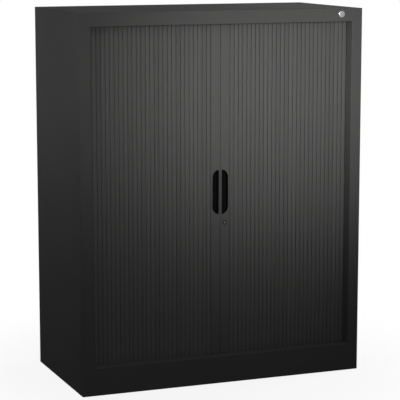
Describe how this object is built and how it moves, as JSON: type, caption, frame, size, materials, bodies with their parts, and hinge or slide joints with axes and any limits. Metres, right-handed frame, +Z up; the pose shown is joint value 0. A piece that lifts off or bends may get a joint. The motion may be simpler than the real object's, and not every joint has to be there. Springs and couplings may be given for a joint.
{
  "type": "tambour door cabinet",
  "caption": "Low sheet-steel tambour cabinet: ribbed slat doors slide sideways from centre pulls and store inside the side walls, in front of adjustable shelves.",
  "frame": {"origin": "on the floor under the middle of the cabinet", "axes": "+X to the right seen from the front, +Y from the front to the back, +Z up; the doors face -Y"},
  "size_m": [0.9, 0.452, 1.125],
  "materials": {
    "graphite_powder_coat": "fine-textured satin powder coat",
    "lead_stile_coat": "satin powder coat on extruded aluminium",
    "slat_plastic": "satin extruded PVC",
    "pull_plastic": "moulded, fine texture",
    "shoe_nylon": "moulded nylon",
    "track_plastic": "extruded, smooth",
    "stop_rubber": "moulded",
    "lock_metal": "dark nickel plated",
    "zinc_steel": "bright zinc plated",
    "upright_zinc": "zinc plated strip",
    "badge_metal": "plain polished"
  },
  "bodies": {
    "left_door": {"keeper_screws": "zinc_steel", "left_guide_shoes": "shoe_nylon", "left_lead_stile": "lead_stile_coat", "left_pull_cup": "pull_plastic", "lock_keeper": "zinc_steel"},
    "right_door": {"lock_housing": "lock_metal", "lock_nut": "zinc_steel", "right_guide_shoes": "shoe_nylon", "right_lead_stile": "lead_stile_coat", "right_pull_cup": "pull_plastic"},
    "lock": {"hook_screw": "zinc_steel", "lock_hook": "zinc_steel", "lock_plug": "lock_metal"},
    "cabinet": {"back_panel": "graphite_powder_coat", "back_panel_rivets": "zinc_steel", "blank_badge": "badge_metal", "bottom_front_track": "track_plastic", "ceiling_pan": "graphite_powder_coat", "curtain_end_stops": "stop_rubber", "floor_pan": "graphite_powder_coat", "header_rail": "graphite_powder_coat", "left_bottom_corner_track": "track_plastic", "left_curtain_slats": "slat_plastic", "left_front_stile": "graphite_powder_coat", "left_front_upright": "upright_zinc", "left_liner": "graphite_powder_coat", "left_rear_upright": "upright_zinc", "left_side_panel": "graphite_powder_coat", "left_top_corner_track": "track_plastic", "liner_screws": "zinc_steel", "lower_shelf": "graphite_powder_coat", "middle_shelf": "graphite_powder_coat", "plinth_rail": "graphite_powder_coat", "right_bottom_corner_track": "track_plastic", "right_curtain_slats": "slat_plastic", "right_front_stile": "graphite_powder_coat", "right_front_upright": "upright_zinc", "right_liner": "graphite_powder_coat", "right_rear_upright": "upright_zinc", "right_side_panel": "graphite_powder_coat", "right_top_corner_track": "track_plastic", "shelf_clips": "zinc_steel", "top_front_track": "track_plastic", "top_panel": "graphite_powder_coat", "upper_shelf": "graphite_powder_coat"}
  },
  "joints": [
    {"name": "left_door_slide", "type": "slide", "parent": "cabinet", "child": "left_door", "axis": [-1, 0, 0], "range_m": [0, 0.386], "deforming": ["left_curtain_slats"]},
    {"name": "right_door_slide", "type": "slide", "parent": "cabinet", "child": "right_door", "axis": [1, 0, 0], "range_m": [0, 0.386], "deforming": ["right_curtain_slats"]},
    {"name": "lock_turn", "type": "hinge", "parent": "right_door", "child": "lock", "pos_m": [0.0145, -0.18, 0.488], "axis": [0, -1, 0], "range_deg": [0, 90]}
  ]
}
